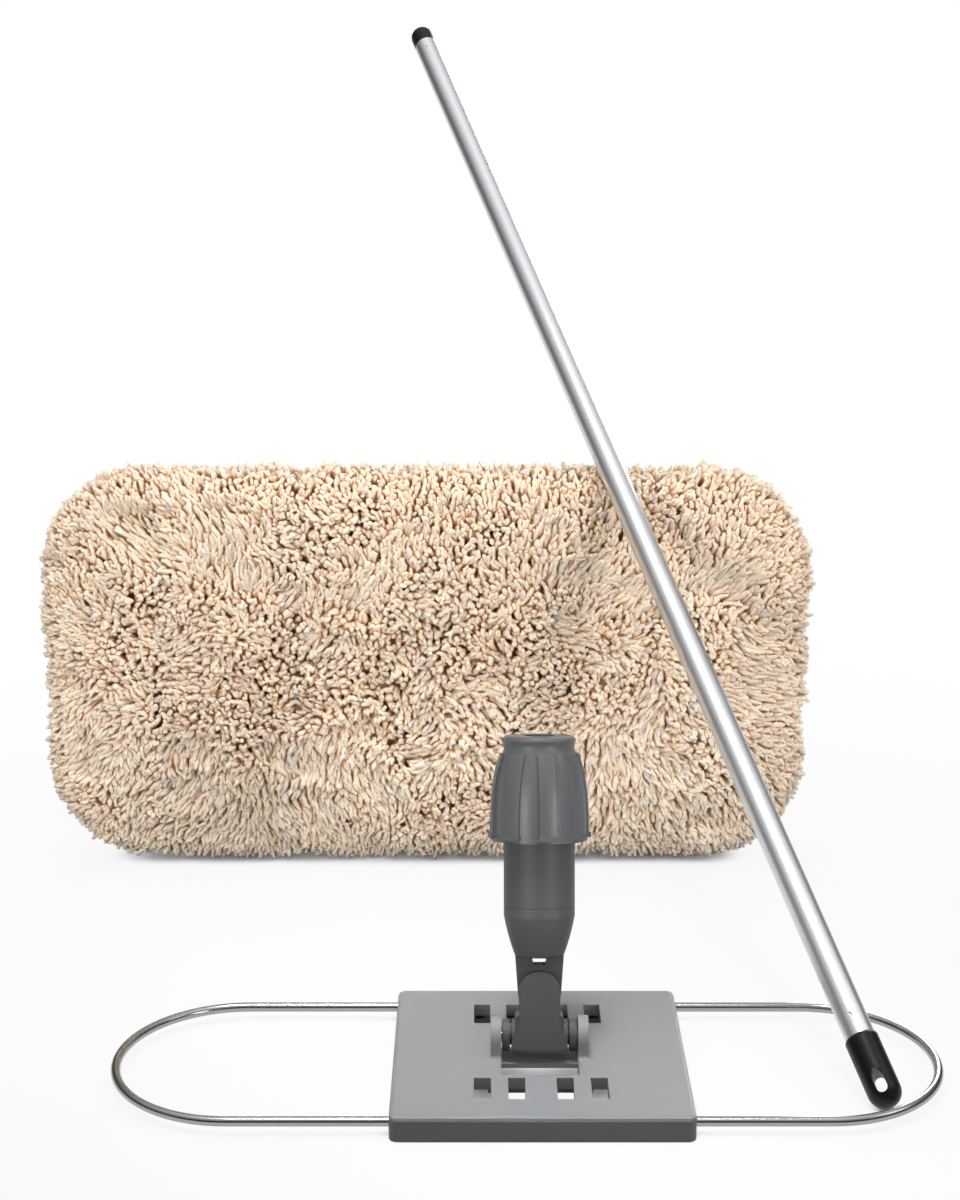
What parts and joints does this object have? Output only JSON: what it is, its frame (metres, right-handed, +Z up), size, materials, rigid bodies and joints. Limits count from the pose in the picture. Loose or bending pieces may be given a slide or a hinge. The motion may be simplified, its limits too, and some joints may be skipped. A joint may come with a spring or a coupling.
{
  "type": "dust mop",
  "caption": "Dust mop kit: cotton yarn pad with wire pockets, wire frame with a slotted plate and swivel pole socket, and an aluminium pole.",
  "frame": {"origin": "on the floor under the middle of the base plate", "axes": "+X to the right in the picture, +Y to the back, away from the viewer, +Z up"},
  "size_m": [0.7203, 0.9435, 0.721],
  "materials": {
    "grey_plate": "moulded, fine texture",
    "grey_swivel": "moulded, satin",
    "grey_nut": "moulded, satin",
    "pale_sleeve": "moulded, natural",
    "steel_wire": "bright drawn wire",
    "satin_aluminium": "satin drawn tube",
    "black_cap": "moulded, satin",
    "cotton_yarn": "cut cotton yarn",
    "canvas": "plain weave",
    "tape": "twill tape"
  },
  "bodies": {
    "frame": {"base_plate": "grey_plate", "left_wire": "steel_wire", "right_wire": "steel_wire", "front_retainer": "grey_plate", "rear_retainer": "grey_plate", "retainer_screws": "steel_wire", "hinge_pin": "steel_wire"},
    "yoke": {"yoke": "grey_swivel", "swivel_pin": "steel_wire"},
    "socket": {"socket_tube": "grey_swivel", "clamp_sleeve": "pale_sleeve"},
    "nut": {"collar_nut": "grey_nut"},
    "pole": {"pole_tube": "satin_aluminium", "pole_plug": "black_cap", "hanging_cap": "black_cap"},
    "pad": {"pad_yarn": "cotton_yarn", "pad_backing": "canvas", "edge_binding": "tape", "left_pocket": "canvas", "right_pocket": "canvas"}
  },
  "joints": [
    {"name": "tilt", "type": "hinge", "parent": "frame", "child": "yoke", "pos_m": [0, 0, 0.03], "axis": [1, 0, 0], "range_deg": [-54.5, 85.5]},
    {"name": "swing", "type": "hinge", "parent": "yoke", "child": "socket", "pos_m": [0, 0.00869, 0.06132], "axis": [0, 0.9636, -0.2672], "range_deg": [-70, 70]},
    {"name": "nut_turn", "type": "hinge", "parent": "socket", "child": "nut", "pos_m": [0, 0.03594, 0.15961], "axis": [0, 0.2672, 0.9636], "range_deg": [0, 360]},
    {"name": "pole_lift", "type": "slide", "parent": "frame", "child": "pole", "axis": [-0.2892, 0.7517, 0.5927], "range_m": [0, 0.3]},
    {"name": "pad_away", "type": "slide", "parent": "frame", "child": "pad", "axis": [0, 1, 0], "range_m": [0, 0.3]}
  ]
}
